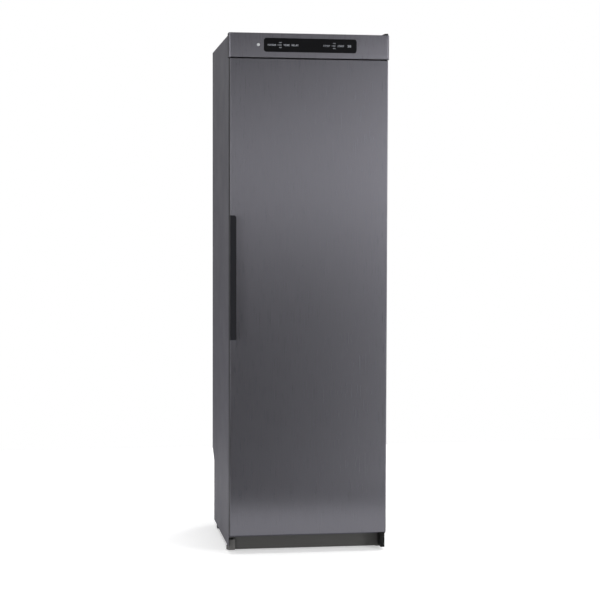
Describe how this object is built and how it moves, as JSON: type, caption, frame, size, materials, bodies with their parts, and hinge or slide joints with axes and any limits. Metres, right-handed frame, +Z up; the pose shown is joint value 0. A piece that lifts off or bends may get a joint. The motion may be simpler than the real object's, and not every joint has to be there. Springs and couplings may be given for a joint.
{
  "type": "drying cabinet",
  "caption": "Tall vented drying cabinet with a full-height hinged door, touch control panel, fold-up hanging racks, shoe shelf, fan and heater, levelling feet and rear rollers.",
  "frame": {"origin": "on the floor, under the middle of the bounding box", "axes": "+Z up; -Y out of the door's front face; +X to the right as seen from the front, towards the door hinge"},
  "size_m": [0.595, 0.722, 1.958],
  "materials": {
    "side_wall": "satin dark grey steel sheet",
    "shell": "satin dark grey steel sheet",
    "front_steel": "dark brushed steel",
    "lining": "fine brushed steel lining",
    "frame_paint": "dark grey paint",
    "plinth_paint": "matt dark grey paint",
    "galvanised": "galvanised sheet",
    "bright_steel": "bright steel",
    "hinge_steel": "black painted steel",
    "black_plastic": "fine-grained black plastic",
    "block_plastic": "dark grey moulded plastic",
    "handle_black": "black anodised, satin",
    "display_glass": "black glass, polished",
    "button_metal": "satin cap",
    "circuit_board": "green circuit board",
    "board": "pale fibre board",
    "gasket": "soft dark grey seal",
    "motor_metal": "die-cast",
    "heater_metal": "heat-tinted tube",
    "thermostat": "unglazed disc",
    "roller_black": "hard black plastic"
  },
  "bodies": {
    "cabinet": {"side_wall_left": "side_wall", "side_wall_right": "side_wall", "top_panel": "shell", "back_panel": "shell", "niche_panel": "shell", "bottom_pan": "shell", "front_frame": "frame_paint", "inner_walls": "lining", "inner_back": "lining", "ceiling_panel": "lining", "floor_tray": "lining", "insulation": "board", "base_frame": "frame_paint", "plinth": "plinth_paint", "foot_block_left": "block_plastic", "foot_block_right": "block_plastic", "roller_axles": "bright_steel", "fascia": "front_steel", "display_glass": "display_glass", "panel_carrier": "black_plastic", "control_board": "circuit_board", "hinge_cap": "black_plastic", "upper_hinge": "hinge_steel", "lower_hinge": "hinge_steel", "rack_brackets": "bright_steel", "door_switch": "black_plastic", "fan_motor": "motor_metal", "fan_scroll": "galvanised", "heater_duct": "galvanised", "heater_coil": "heater_metal", "thermostat": "thermostat", "exhaust_plenum": "galvanised", "exhaust_spigot": "galvanised", "terminal_box": "black_plastic", "cable_gland": "black_plastic"},
    "door": {"door_skin": "front_steel", "door_liner": "lining", "door_insulation": "board", "door_gasket": "gasket", "hinge_bushes": "black_plastic", "handle": "handle_black", "handle_caps": "handle_black", "glove_rack_bars": "bright_steel", "glove_rack_pegs": "bright_steel"},
    "fan_rotor": {"motor_shaft": "bright_steel", "fan_impeller": "galvanised"},
    "power_button": {"power_button": "button_metal"},
    "foot_left": {"levelling_foot_left": "black_plastic"},
    "foot_right": {"levelling_foot_right": "black_plastic"},
    "roller_left": {"roller_left": "roller_black"},
    "roller_right": {"roller_right": "roller_black"},
    "rack_top": {"rack_top_arms": "bright_steel", "rack_top_rods": "bright_steel"},
    "rack_middle": {"rack_middle_arms": "bright_steel", "rack_middle_rods": "bright_steel"},
    "rack_bottom": {"rack_bottom_arms": "bright_steel", "rack_bottom_rods": "bright_steel"},
    "shoe_shelf": {"shoe_shelf_arms": "bright_steel", "shoe_shelf_rods": "bright_steel"},
    "switch_plunger": {"switch_plunger": "button_metal"}
  },
  "joints": [
    {"name": "door_hinge", "type": "hinge", "parent": "cabinet", "child": "door", "pos_m": [0.279, -0.309, 0.9455], "axis": [0, 0, 1], "range_deg": [0, 115]},
    {"name": "fan_spin", "type": "hinge", "parent": "cabinet", "child": "fan_rotor", "pos_m": [-0.11, 0.001, 1.83], "axis": [0, 0, 1], "continuous": true},
    {"name": "button_press", "type": "slide", "parent": "cabinet", "child": "power_button", "axis": [0, 1, 0], "range_m": [0, 0.0015], "stiffness_N_per_m": 400, "springref_m": -0.0015},
    {"name": "foot_left_screw", "type": "slide", "parent": "cabinet", "child": "foot_left", "axis": [0, 0, -1], "range_m": [0, 0.02]},
    {"name": "foot_right_screw", "type": "slide", "parent": "cabinet", "child": "foot_right", "axis": [0, 0, -1], "range_m": [0, 0.02]},
    {"name": "roller_left_spin", "type": "hinge", "parent": "cabinet", "child": "roller_left", "pos_m": [-0.2822, 0.183, 0.017], "axis": [1, 0, 0], "continuous": true},
    {"name": "roller_right_spin", "type": "hinge", "parent": "cabinet", "child": "roller_right", "pos_m": [0.2822, 0.183, 0.017], "axis": [1, 0, 0], "continuous": true},
    {"name": "rack_top_lift", "type": "hinge", "parent": "cabinet", "child": "rack_top", "pos_m": [0, 0.2432, 1.6502], "axis": [-1, 0, 0], "range_deg": [0, 10]},
    {"name": "rack_middle_fold", "type": "hinge", "parent": "cabinet", "child": "rack_middle", "pos_m": [0, 0.2432, 1.1502], "axis": [-1, 0, 0], "range_deg": [0, 88]},
    {"name": "rack_bottom_fold", "type": "hinge", "parent": "cabinet", "child": "rack_bottom", "pos_m": [0, 0.2432, 0.6502], "axis": [-1, 0, 0], "range_deg": [0, 88]},
    {"name": "shoe_shelf_fold", "type": "hinge", "parent": "cabinet", "child": "shoe_shelf", "pos_m": [0, 0.2432, 0.25], "axis": [-1, 0, 0], "range_deg": [0, 88]},
    {"name": "switch_plunger_slide", "type": "slide", "parent": "cabinet", "child": "switch_plunger", "axis": [0, -1, 0], "range_m": [0, 0.003]}
  ],
  "couplings": [
    {"joint": "switch_plunger_slide", "follows": "door_hinge", "m_per_rad": 0.001494}
  ]
}
